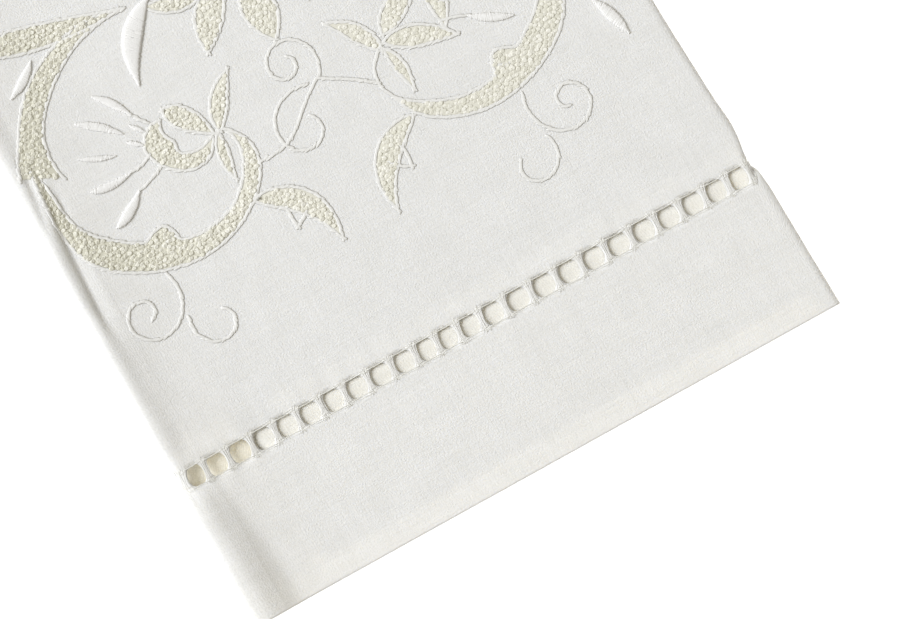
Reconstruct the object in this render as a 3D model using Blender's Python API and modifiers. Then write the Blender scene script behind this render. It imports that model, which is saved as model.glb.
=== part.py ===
"""Linen hand towel, folded lengthwise into three layers, with a ladder-hemstitched deep hem.

The towel lies flat. X runs across the folded towel, Y up its length and Z up.
The deep hem is at -Y. The origin is under the middle of the folded towel, on the table.
All sizes are in metres.
"""

import math
from collections import namedtuple

import bpy

# The cloth as it was cut and hemmed
TOWEL_WIDTH = 0.356
TOWEL_LENGTH = 0.559
CLOTH = 0.0010
SIDE_HEM = 0.006
FAR_HEM = 0.010

# The ladder of drawn threads above the deep hem
LADDER_LOW = 0.0284
LADDER_HIGH = 0.0327
LADDER_PITCH = 0.00513
LADDER_BAR = 0.0010

# The folded stack. Each height is that of the cloth's outer face
TOP_FACE = 0.0038
MIDDLE_FACE = 0.0014
CENTRE_LINE = -0.0072
RIGHT_FOLD_REACH = 0.0013
LEFT_MID_HEIGHT = 0.0022

# The folded wings are drawn back from the top layer's hem edge, by these lengths,
# and reach them within this share of the wing
RIGHT_WING_RETREAT = 0.0046
LEFT_WING_RETREAT = 0.0052
RETREAT_SHARE = 0.15

# One row of the cloth for each section along its length, measured up from the hem's edge:
# how much it tilts up to the left, where the two folds lie, how far in the rolled left
# fold's crest is, how high the crest stands over the flat cloth, and how wide the
# slope beside it is
Section = namedtuple("Section", "along tilt left right crest_inset crest_rise slope")
SECTIONS = (
    Section(0.0000, 0.0050, -0.0637, 0.0637, 0.0030, 0.0015, 0.0076),
    Section(0.0060, 0.0060, -0.0636, 0.0635, 0.0029, 0.0014, 0.0072),
    Section(0.0160, 0.0080, -0.0633, 0.0631, 0.0027, 0.0011, 0.0062),
    Section(0.0260, 0.0100, -0.0629, 0.0625, 0.0023, 0.0008, 0.0054),
    Section(LADDER_LOW, 0.0104, -0.0623, 0.0618, 0.0021, 0.0005, 0.0050),
    Section(LADDER_HIGH, 0.0104, -0.0623, 0.0617, 0.0020, 0.0004, 0.0048),
    Section(0.0352, 0.0100, -0.0628, 0.0622, 0.0019, 0.0006, 0.0042),
    Section(0.0450, 0.0080, -0.0628, 0.0618, 0.0019, 0.0009, 0.0042),
    Section(0.0650, 0.0060, -0.0628, 0.0609, 0.0019, 0.0010, 0.0044),
    Section(0.0780, 0.0050, -0.0627, 0.0606, 0.0021, 0.0007, 0.0062),
    Section(0.0880, 0.0040, -0.0626, 0.0604, 0.0024, 0.0011, 0.0066),
    Section(0.0960, 0.0040, -0.0627, 0.0602, 0.0020, 0.0008, 0.0050),
    Section(0.1200, 0.0030, -0.0628, 0.0599, 0.0020, 0.0009, 0.0050),
    Section(0.1800, 0.0020, -0.0630, 0.0596, 0.0019, 0.0008, 0.0045),
    Section(0.2800, 0.0000, -0.0628, 0.0598, 0.0020, 0.0007, 0.0050),
    Section(0.4000, -0.0010, -0.0631, 0.0595, 0.0019, 0.0008, 0.0045),
    Section(TOWEL_LENGTH - FAR_HEM, -0.0015, -0.0629, 0.0600, 0.0020, 0.0007, 0.0050),
    Section(TOWEL_LENGTH, -0.0015, -0.0629, 0.0601, 0.0021, 0.0008, 0.0055),
)
FINE_ROWS = (LADDER_LOW, LADDER_HIGH)

# The spans of a section, walked from the inner free edge to the outer one.
# A place on the walk is a span's number plus the share of that span walked
MIDDLE, RIGHT_UNDER, RIGHT_OVER, TOP, SLOPE, LEFT_OVER, LEFT_UNDER, BOTTOM = range(8)
SPANS = 8
ARC_STEPS = 5
SLOPE_STEPS = 5
FLAT_PLACES = {MIDDLE: (0.4, 1 - RETREAT_SHARE), TOP: (0.33, 0.67), BOTTOM: (RETREAT_SHARE, 0.6)}
MEASURE_STEPS = 40
NEAREST_COLUMNS = 0.0004

LINEN = (0.80, 0.79, 0.75, 1.0)
LINEN_ROUGHNESS = 0.9


def clear_scene():
    """Remove every object of the scene that Blender opened with."""
    for obj in list(bpy.data.objects):
        bpy.data.objects.remove(obj)


def fold_point(row, span, part):
    """The outer face's (x, z) on one of a section's curved spans."""
    turn = part * math.pi / 2
    half_height = (TOP_FACE - MIDDLE_FACE) / 2
    fold_start = row.right - RIGHT_FOLD_REACH
    crest_x = row.left + row.crest_inset
    crest_z = TOP_FACE + row.crest_rise
    if span == RIGHT_UNDER:
        x = fold_start + RIGHT_FOLD_REACH * math.sin(turn)
        z = MIDDLE_FACE + half_height * (1 - math.cos(turn))
    elif span == RIGHT_OVER:
        x = fold_start + RIGHT_FOLD_REACH * math.cos(turn)
        z = MIDDLE_FACE + half_height * (1 + math.sin(turn))
    elif span == SLOPE:
        x = crest_x + row.slope * (1 - part)
        z = TOP_FACE + row.crest_rise * part * part * (3 - 2 * part)
    elif span == LEFT_OVER:
        x = crest_x - row.crest_inset * math.sin(turn)
        z = LEFT_MID_HEIGHT + (crest_z - LEFT_MID_HEIGHT) * math.cos(turn)
    else:
        x = crest_x - row.crest_inset * math.cos(turn)
        z = LEFT_MID_HEIGHT * (1 - math.sin(turn))
    return x, z


def curve_length(row, spans):
    """Length of cloth in some of a section's curved spans."""
    length = 0.0
    for span in spans:
        points = [fold_point(row, span, i / MEASURE_STEPS) for i in range(MEASURE_STEPS + 1)]
        length += sum(math.dist(a, b) for a, b in zip(points, points[1:]))
    return length


def flat_ends(row):
    """The two x positions between which each flat span runs, in walking order."""
    half = TOWEL_WIDTH / 2
    fold_start = row.right - RIGHT_FOLD_REACH
    crest_x = row.left + row.crest_inset
    slope_foot = crest_x + row.slope
    right_used = fold_start - CENTRE_LINE + curve_length(row, (RIGHT_OVER, RIGHT_UNDER))
    left_used = CENTRE_LINE - slope_foot + curve_length(row, (SLOPE, LEFT_OVER, LEFT_UNDER))
    return {
        MIDDLE: (fold_start - (half - right_used), fold_start),
        TOP: (fold_start, slope_foot),
        BOTTOM: (crest_x, crest_x + half - left_used),
    }


FLAT_HEIGHTS = {MIDDLE: MIDDLE_FACE, TOP: TOP_FACE, BOTTOM: 0.0}


def section_point(row, place):
    """The outer face's (x, z) at a place of a section's walk."""
    span = min(int(place), SPANS - 1)
    part = place - span
    if span in FLAT_HEIGHTS:
        start, end = flat_ends(row)[span]
        return start + part * (end - start), FLAT_HEIGHTS[span]
    return fold_point(row, span, part)


def retreat(row, place):
    """How far a folded wing is drawn back from the top layer's hem edge."""
    fade = 1 - row.along / TOWEL_LENGTH
    if place < RIGHT_UNDER:
        return RIGHT_WING_RETREAT * fade * min(1.0, (RIGHT_UNDER - place) / RETREAT_SHARE)
    if place > BOTTOM:
        return LEFT_WING_RETREAT * fade * min(1.0, (place - BOTTOM) / RETREAT_SHARE)
    return 0.0


def measured_walk(row):
    """(place, length of cloth walked) at even steps along a section."""
    places = [i / MEASURE_STEPS for i in range(SPANS * MEASURE_STEPS + 1)]
    walk = [(0.0, 0.0)]
    for before, after in zip(places, places[1:]):
        step = math.dist(section_point(row, before), section_point(row, after))
        walk.append((after, walk[-1][1] + step))
    return walk


def place_at(walk, length):
    """The place where that length of cloth has been walked."""
    for (place, done), (next_place, next_done) in zip(walk, walk[1:]):
        if next_done >= length:
            return place + (next_place - place) * (length - done) / (next_done - done)
    return walk[-1][0]


def length_at(walk, place):
    """The length of cloth walked up to a place."""
    index = min(int(place * MEASURE_STEPS), len(walk) - 2)
    (before, done), (after, next_done) = walk[index], walk[index + 1]
    return done + (next_done - done) * (place - before) / (after - before)


def ladder_holes(walk):
    """(start, end) places of the ladder's holes, counted out from the centre line."""
    half = TOWEL_WIDTH / 2
    pairs = int((half - SIDE_HEM) / LADDER_PITCH)
    holes = []
    for index in range(-pairs, pairs):
        start = half + index * LADDER_PITCH + LADDER_BAR / 2
        end = start + LADDER_PITCH - LADDER_BAR
        holes.append((place_at(walk, start), place_at(walk, end)))
    return holes


def shape_places(walk, holes):
    """Places that every row has: the cloth's edges, side hems, arcs, slope and flats."""
    wanted = [place_at(walk, SIDE_HEM), place_at(walk, TOWEL_WIDTH - SIDE_HEM)]
    for span in (RIGHT_UNDER, RIGHT_OVER, LEFT_OVER, LEFT_UNDER):
        wanted += [span + i / ARC_STEPS for i in range(ARC_STEPS + 1)]
    wanted += [SLOPE + i / SLOPE_STEPS for i in range(SLOPE_STEPS)]
    for span, shares in FLAT_PLACES.items():
        wanted += [span + share for share in shares]
    hole_ends = [end for hole in holes for end in hole]
    # In the folds the hole ends shape the arc too, so they are columns of every row
    kept = [0.0, float(SPANS)] + [end for end in hole_ends if int(end) not in FLAT_HEIGHTS]
    for place in wanted:
        length = length_at(walk, place)
        others = kept + hole_ends
        if all(abs(length - length_at(walk, other)) > NEAREST_COLUMNS for other in others):
            kept.append(place)
    return sorted(kept)


def make_rows(coarse, fine):
    """The cloth's points, and for each section a map from place to point number."""
    points, rows = [], []
    for row in SECTIONS:
        places = fine if row.along in FINE_ROWS else coarse
        numbers = {}
        for place in places:
            x, z = section_point(row, place)
            y = row.along + retreat(row, place) - row.tilt * x - TOWEL_LENGTH / 2
            numbers[place] = len(points)
            points.append((x, y, z))
        rows.append(numbers)
    return points, rows


def band_faces(lower, upper, holes):
    """Faces between two rows, leaving the holes out. A face takes in each extra point."""
    shared = sorted(set(lower) & set(upper))
    faces = []
    for start, end in zip(shared, shared[1:]):
        middle = (start + end) / 2
        if any(low < middle < high for low, high in holes):
            continue
        above = [upper[place] for place in sorted(upper) if start <= place <= end]
        below = [lower[place] for place in sorted(lower) if start <= place <= end]
        faces.append(above + below[::-1])
    return faces


def linen_material():
    """Plain off-white linen."""
    material = bpy.data.materials.new("linen")
    material.use_nodes = True
    shader = material.node_tree.nodes["Principled BSDF"]
    shader.inputs["Base Color"].default_value = LINEN
    shader.inputs["Roughness"].default_value = LINEN_ROUGHNESS
    shader.inputs["Metallic"].default_value = 0.0
    return material


def build_towel(collection):
    """The folded towel: its outer face, given the cloth's thickness inwards."""
    ladder_row = next(row for row in SECTIONS if row.along == LADDER_LOW)
    walk = measured_walk(ladder_row)
    holes = ladder_holes(walk)
    coarse = shape_places(walk, holes)
    fine = sorted(set(coarse) | {end for hole in holes for end in hole})
    points, rows = make_rows(coarse, fine)

    faces = []
    for index in range(len(SECTIONS) - 1):
        at_ladder = SECTIONS[index].along == LADDER_LOW
        faces += band_faces(rows[index], rows[index + 1], holes if at_ladder else ())

    mesh = bpy.data.meshes.new("linen_towel")
    mesh.from_pydata(points, [], faces)
    mesh.materials.append(linen_material())
    towel = bpy.data.objects.new("linen_towel", mesh)
    collection.objects.link(towel)

    thickness = towel.modifiers.new("cloth_thickness", "SOLIDIFY")
    thickness.thickness = CLOTH
    thickness.offset = -1.0
    thickness.use_even_offset = True
    return towel


def main():
    clear_scene()
    collection = bpy.data.collections.new("hand_towel")
    bpy.context.scene.collection.children.link(collection)
    build_towel(collection)


main()
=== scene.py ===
"""Looks of a folded linen hand towel with a ladder hemstitch and white floral embroidery.

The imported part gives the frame. Its towel is replaced here by a thin sheet of linen on the
same folds, and the sewing is laid on that sheet: the ladder's bundled threads, the hem's
stitches, and the spray in stem stitch, satin stitch and French knots.

Shapes are worked out in millimetres and written in metres. A point of the cloth has two
numbers: how far it is from the cloth's middle line, positive to the right, and how far up
it is from the hem's edge.
"""

from __future__ import annotations

import logging
import math
from dataclasses import dataclass, field
from enum import Enum
from typing import NamedTuple

import bpy
import numpy as np
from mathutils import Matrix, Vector

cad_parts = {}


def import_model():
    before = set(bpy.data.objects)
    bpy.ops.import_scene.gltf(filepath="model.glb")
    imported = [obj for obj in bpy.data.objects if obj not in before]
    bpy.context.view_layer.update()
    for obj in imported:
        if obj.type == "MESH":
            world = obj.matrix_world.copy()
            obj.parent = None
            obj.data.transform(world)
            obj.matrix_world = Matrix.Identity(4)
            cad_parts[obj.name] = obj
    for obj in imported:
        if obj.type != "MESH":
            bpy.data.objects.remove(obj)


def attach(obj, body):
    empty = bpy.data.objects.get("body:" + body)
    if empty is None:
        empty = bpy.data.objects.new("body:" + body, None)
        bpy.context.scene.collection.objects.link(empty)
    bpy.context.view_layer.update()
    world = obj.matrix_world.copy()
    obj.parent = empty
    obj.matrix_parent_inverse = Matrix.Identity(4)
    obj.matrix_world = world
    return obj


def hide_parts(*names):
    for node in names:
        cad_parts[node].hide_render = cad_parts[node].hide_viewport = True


LOG = logging.getLogger("hand_towel")
MM = 0.001
SEED = 14

Array = np.ndarray
Point = tuple[float, float]
Ray = tuple[float, float, float]
Colour = tuple[float, float, float, float]
Socket = bpy.types.NodeSocket
WHITE = (0.84, 0.83, 0.80, 1.0)


class FoldRow(NamedTuple):
    """The folds at one distance up from the hem, in millimetres.

    The rows of thread tilt there, the folds lie at left and right, and the left fold's roll
    has its crest this far in, stands this high, and comes down over this width.
    """

    along: float
    tilt: float
    left: float
    right: float
    inset: float
    rise: float
    slope: float


FOLD_ROWS = (
    FoldRow(0.0, 0.0050, -63.9, 63.7, 3.0, 2.30, 10.2),
    FoldRow(6.0, 0.0060, -63.8, 63.5, 2.9, 2.15, 9.6),
    FoldRow(16.0, 0.0080, -63.4, 63.1, 2.5, 1.75, 8.4),
    FoldRow(26.0, 0.0100, -62.9, 62.6, 1.8, 1.05, 6.0),
    FoldRow(27.7, 0.0103, -62.45, 62.35, 1.65, 0.60, 5.0),
    FoldRow(28.7, 0.0104, -62.3, 61.75, 1.6, 0.50, 4.8),
    FoldRow(32.7, 0.0104, -62.3, 61.7, 1.4, 0.45, 4.8),
    FoldRow(35.2, 0.0100, -62.8, 62.2, 1.3, 0.75, 5.2),
    FoldRow(45.0, 0.0080, -62.8, 61.8, 1.15, 0.95, 6.0),
    FoldRow(65.0, 0.0060, -62.8, 60.9, 1.15, 1.05, 6.0),
    FoldRow(78.0, 0.0050, -62.7, 60.6, 1.4, 0.80, 5.6),
    FoldRow(88.0, 0.0040, -62.6, 60.4, 1.7, 1.15, 5.6),
    FoldRow(96.0, 0.0040, -62.7, 60.2, 1.4, 0.80, 5.0),
    FoldRow(120.0, 0.0030, -62.8, 59.9, 1.4, 0.90, 5.0),
    FoldRow(180.0, 0.0020, -63.0, 59.6, 1.4, 0.80, 5.0),
    FoldRow(280.0, 0.0000, -62.8, 59.8, 1.4, 0.70, 5.0),
    FoldRow(400.0, -0.0010, -63.1, 59.5, 1.4, 0.80, 4.5),
    FoldRow(549.0, -0.0015, -62.9, 60.0, 1.4, 0.70, 5.0),
    FoldRow(559.0, -0.0015, -62.9, 60.1, 1.5, 0.80, 5.5),
)

# How far the bar at each distance from the middle line stands off its even place.
DRIFT = (
    (-178.0, 0.0), (-90.0, 0.3), (-66.0, 0.9), (-61.5, 1.15), (-56.5, 2.0),
    (-51.3, 1.2), (-46.0, 1.05), (-40.0, 1.0), (-20.0, 0.65), (-5.0, 0.55),
    (4.0, -0.25), (14.0, -0.6), (24.0, 0.3), (36.0, 0.9), (48.0, 1.6),
    (60.0, 1.7), (72.0, 0.9), (110.0, 0.2), (178.0, 0.0),
)


class Crease(NamedTuple):
    """A soft trough, or a ridge where its depth is negative, between two cloth points."""

    start: Point
    end: Point
    depth: float
    width: float


CREASES = (
    Crease((-53.0, 44.0), (-52.6, 72.0), 0.10, 0.9),
    Crease((-53.0, 58.0), (-51.4, 92.0), 0.42, 1.0),
    Crease((-53.4, 62.0), (-52.2, 86.0), 0.34, 0.42),
    Crease((-52.6, 80.0), (-50.4, 98.0), 0.34, 0.40),
    Crease((-54.2, 84.0), (-52.4, 101.0), 0.34, 0.42),
    Crease((-55.2, 66.0), (-54.6, 84.0), -0.20, 0.45),
    Crease((-51.0, 78.0), (-48.8, 92.0), 0.16, 0.6),
    Crease((-47.0, 40.0), (-44.0, 66.0), 0.05, 3.0),
    Crease((-20.0, 36.0), (-28.0, 62.0), 0.05, 4.0),
    Crease((22.0, 38.0), (34.0, 60.0), -0.05, 4.0),
    Crease((50.0, 34.0), (58.0, 66.0), 0.06, 3.0),
    Crease((-40.0, 2.0), (-36.0, 26.0), 0.05, 3.5),
    Crease((12.0, 3.0), (20.0, 26.0), -0.04, 4.0),
)

# The billow's waves: how far across and how far up each goes in a radian, and its start.
WAVES = ((9.1, 23.0, 0.0), (17.0, -11.3, 1.3), (31.0, 6.7, 0.6))


def smooth_between(x: Array, knots: Array, values: Array) -> Array:
    """A smooth curve through a table: cubic steps whose slopes follow the neighbours.

    Args:
        x: Where the curve is wanted.
        knots: The table's positions, rising.
        values: The table's values there.

    Returns:
        The curve's value at each x.
    """
    slopes = np.gradient(values, knots)
    x = np.clip(x, knots[0], knots[-1])
    at = np.clip(np.searchsorted(knots, x) - 1, 0, len(knots) - 2)
    gap = knots[at + 1] - knots[at]
    t = (x - knots[at]) / gap
    return (
        values[at] * (1 + 2 * t) * (1 - t) ** 2
        + slopes[at] * gap * t * (1 - t) ** 2
        + values[at + 1] * t**2 * (3 - 2 * t)
        + slopes[at + 1] * gap * t**2 * (t - 1)
    )


def unit(vectors: Array) -> Array:
    """Vectors of length one, along the last axis."""
    return vectors / np.maximum(np.linalg.norm(vectors, axis=-1, keepdims=True), 1e-12)


def steps(low: float, high: float, step: float) -> Array:
    """Even steps from low up to, but not including, high."""
    return np.linspace(low, high, max(2, round((high - low) / step)) + 1)[:-1]


def ramp(x: Array, start: float, width: float) -> Array:
    """A straight ramp: 0 at its start and 1 a width further on, which may be negative."""
    return np.clip((x - start) / width, 0, 1)


def stacked(corners: list[Array]) -> Array:
    """Faces from their corners, each corner's point numbers given as one array."""
    return np.stack([corner.ravel() for corner in corners], axis=1)


def sheet_faces(grid: Array) -> Array:
    """The four-sided faces of a grid of point numbers."""
    return stacked([grid[:-1, :-1], grid[:-1, 1:], grid[1:, 1:], grid[1:, :-1]])


def ring_faces(rings: Array) -> Array:
    """The four-sided faces between the neighbouring rings of many stacks of rings."""
    after = np.roll(rings, -1, axis=2)
    return stacked([rings[:, :-1], rings[:, 1:], after[:, 1:], after[:, :-1]])


def linked(name: str, data: bpy.types.ID) -> bpy.types.Object:
    """A new object with this data, linked to the scene."""
    made = bpy.data.objects.new(name, data)
    bpy.context.scene.collection.objects.link(made)
    return made


class Graph:
    """A material's nodes, joined as they are made."""

    def __init__(self, name: str) -> None:
        """Start a material."""
        self.material = bpy.data.materials.new(name)
        self.material.use_nodes = True
        self.tree = self.material.node_tree
        self.shader = self.tree.nodes["Principled BSDF"]

    def node(
        self, kind: str, inputs: dict[int | str, object], **settings: object
    ) -> bpy.types.Node:
        """Add a node.

        Args:
            kind: Its type.
            inputs: A number, or another node's output, for each input that is fed.
            settings: Its own settings.

        Returns:
            The node.
        """
        made = self.tree.nodes.new(kind)
        for key, value in settings.items():
            setattr(made, key, value)
        self._feed(made, inputs)
        return made

    def _feed(self, node: bpy.types.Node, inputs: dict[int | str, object]) -> None:
        """Join a node's inputs to other nodes' outputs, or set them."""
        for key, value in inputs.items():
            if isinstance(value, Socket):
                self.tree.links.new(value, node.inputs[key])
            else:
                node.inputs[key].default_value = value

    def calc(self, operation: str, *values: object) -> Socket:
        """A Math node on up to three values."""
        return self.node("ShaderNodeMath", dict(enumerate(values)), operation=operation).outputs[0]

    def clamped(self, value: object, high: float = 1.0) -> Socket:
        """A value kept between 0 and a highest one."""
        return self.calc("MINIMUM", self.calc("MAXIMUM", value, 0.0), high)

    def scaled(self, vector: object, across: float, up: float) -> Socket:
        """A vector times one scale across and another up."""
        inputs = {"Vector": vector, "Scale": (across, up, 1.0)}
        return self.node("ShaderNodeMapping", inputs).outputs[0]

    def noise(self, vector: object, scale: float, detail: float = 2.0) -> Socket:
        """A noise texture's value, about 0.5."""
        inputs = {"Vector": vector, "Scale": scale, "Detail": detail}
        return self.node("ShaderNodeTexNoise", inputs).outputs[0]

    def blend(self, share: object, low: object, high: object) -> Socket:
        """Mix two colours."""
        made = self.node("ShaderNodeMix", {}, data_type="RGBA")
        self._feed(made, {0: share, 6: low, 7: high})
        return made.outputs[2]

    def dress(self, colour: object, height: object, depth: float, **constants: float) -> None:
        """Give the shader its colour, its bump and its constants.

        Args:
            colour: The colour's socket.
            height: The bump's socket, from 0 to 1.
            depth: How deep the bump is, in metres.
            constants: Values set on the shader's own sockets.
        """
        bump = self.node("ShaderNodeBump", {"Height": height, "Distance": depth, "Strength": 1.0})
        self.tree.links.new(colour, self.shader.inputs["Base Color"])
        self.tree.links.new(bump.outputs[0], self.shader.inputs["Normal"])
        for name, value in constants.items():
            self.shader.inputs[name.replace("_", " ")].default_value = value


@dataclass(frozen=True)
class LinenFinish:
    """Plain-woven linen with slubs, drawn by the cloth's own coordinates.

    The wings under the top layer are painted creamier, the left one most: painted warm
    shade for the cavities under the top layer. The left one also glows a little, painted
    light in place of the light that comes through the fold above it. A grain is a noise's
    scale across and along the threads, in cycles a millimetre.
    """

    light: Colour = (0.88, 0.87, 0.845, 1.0)
    shade: Colour = (0.70, 0.69, 0.655, 1.0)
    # Painted warm shade: the hidden wings' colour, standing in for the warm shade in the cavities
    # under the top layer.
    cream: Colour = (0.86, 0.82, 0.70, 1.0)
    wings_from: Point = (-60.0, 72.0)
    cavity_shade_shares: Point = (0.65, 0.4)
    # Painted glow: the colour of the left wing's emission, standing in for light through the fold
    # above it.
    through: Colour = (0.135, 0.125, 0.10, 1.0)
    thread: float = 0.50
    slub: float = 0.60
    slub_grain: Point = (1.9, 0.07)
    uneven: float = 0.95
    uneven_grain: Point = (1.3, 0.05)
    wander_grain: float = 0.9
    fuzz: float = 1.5
    fuzz_grain: float = 2.8
    cloud: float = 0.5
    cloud_grain: float = 0.16
    streak: float = 1.1
    flat_warp: float = 0.6
    relief: float = 0.4
    tone: Point = (0.5, 0.32)
    depth: float = 0.00008
    glow: float = 0.0010

    def _thread(self, graph: Graph, across: object, streak: object) -> object:
        """One set of threads: a rounded cosine across them, thicker at the slubs."""
        wave = graph.calc("COSINE", graph.calc("MULTIPLY", across, 2 * math.pi / self.thread))
        bed = graph.calc("MULTIPLY_ADD", wave, 0.5, 0.5)
        gain = graph.calc("MULTIPLY_ADD", streak, 2 * self.slub, 1 - self.slub)
        return graph.calc("MULTIPLY", bed, gain)

    def material(self) -> bpy.types.Material:
        """Make the material.

        The two sets of threads pass over each other in turn: the product of two cosines,
        each of twice the threads' spacing, says how far the warp lies on top.

        Returns:
            The material.
        """
        graph = Graph("linen")
        add, multiply, over_add = "ADD", "MULTIPLY", "MULTIPLY_ADD"
        uv = graph.node("ShaderNodeUVMap", {}, uv_map="threads").outputs[0]
        mm = graph.scaled(uv, 1 / MM, 1 / MM)
        loose = graph.node("ShaderNodeSeparateXYZ", {0: mm}).outputs
        close, far = self.uneven_grain
        apart = graph.noise(graph.scaled(mm, close, far), 1.0)
        above = graph.noise(graph.scaled(mm, far, close), 1.0)
        wander = graph.noise(mm, self.wander_grain)
        stray = graph.calc(add, apart, wander), graph.calc("SUBTRACT", above, wander)
        across, upwards = (graph.calc(over_add, stray[i], self.uneven, loose[i]) for i in (0, 1))
        bent = graph.node("ShaderNodeCombineXYZ", {0: across, 1: upwards}).outputs[0]
        split = graph.node("ShaderNodeSeparateXYZ", {0: bent}).outputs
        close, far = self.slub_grain
        along_warp = graph.noise(graph.scaled(bent, close, far), 1.0, 3.0)
        along_weft = graph.noise(graph.scaled(bent, far, close), 1.0, 3.0)
        warp = self._thread(graph, split[0], along_warp)
        weft = self._thread(graph, split[1], along_weft)
        half = math.pi / self.thread
        waves = [graph.calc("COSINE", graph.calc(multiply, split[i], half)) for i in (0, 1)]
        top = graph.calc(over_add, graph.calc(multiply, *waves), 0.5, 0.5)
        under = graph.calc(multiply, weft, graph.calc("SUBTRACT", 1.0, top))
        woven = graph.calc(over_add, graph.calc(multiply, warp, self.flat_warp), top, under)
        fuzz = graph.noise(mm, self.fuzz_grain, 3.0)
        woven = graph.calc(over_add, fuzz, self.fuzz, graph.calc(multiply, woven, self.relief))
        # The colour follows the weave's height: its low places are painted darker, painted shade
        # between the threads over the weave's own pattern.
        tone = graph.calc(over_add, woven, *self.tone)
        streaks = graph.calc(multiply, graph.calc(add, along_warp, along_weft), 0.5)
        cloud = graph.noise(mm, self.cloud_grain, 4.0)
        for pattern, depth in ((streaks, self.streak), (cloud, self.cloud)):
            tone = graph.calc(add, tone, graph.calc(over_add, pattern, depth, -depth / 2))
        colour = graph.blend(graph.clamped(tone), self.shade, self.light)
        left = graph.calc("SUBTRACT", self.wings_from[0], loose[0])
        right = graph.calc("SUBTRACT", loose[0], self.wings_from[1])
        left, right = (graph.clamped(*pair) for pair in zip((left, right), self.cavity_shade_shares))
        # The hidden wings take the painted warm shade.
        colour = graph.blend(graph.calc(add, left, right), colour, self.cream)
        # Painted glow: only the left wing emits, a painted light in place of the light through the
        # fold above it.
        lit = graph.blend(left, (0.0, 0.0, 0.0, 1.0), self.through)
        graph.tree.links.new(lit, graph.shader.inputs["Emission Color"])
        graph.dress(colour, woven, self.depth, Roughness=0.88, Sheen_Weight=0.12,
                    Emission_Strength=1.0, Subsurface_Weight=0.3, Subsurface_Scale=self.glow)
        graph.shader.inputs["Subsurface Radius"].default_value = (1.0, 0.95, 0.85)
        return graph.material


@dataclass(frozen=True)
class YarnFinish:
    """Embroidery or sewing thread, its shade set thread by thread."""

    name: str
    light: Colour
    shade: Colour
    roughness: float = 0.6
    fibre_grain: float = 5200.0
    fibre_depth: float = 0.00005
    fibre_share: float = 0.7
    tone: Point = (0.8, -0.2)

    def material(self) -> bpy.types.Material:
        """Make the material: the threads' own tones, with fine fibres over them."""
        graph = Graph(self.name)
        place = graph.node("ShaderNodeTexCoord", {}).outputs["Object"]
        fibres = graph.noise(place, self.fibre_grain, 3.0)
        own = graph.node("ShaderNodeAttribute", {}, attribute_name="tone").outputs["Fac"]
        own = graph.calc("MULTIPLY_ADD", own, *self.tone)
        share = graph.calc("MULTIPLY_ADD", fibres, self.fibre_share, own)
        colour = graph.blend(graph.clamped(share), self.shade, self.light)
        graph.dress(colour, fibres, self.fibre_depth, Roughness=self.roughness, Sheen_Weight=0.15)
        return graph.material


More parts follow.
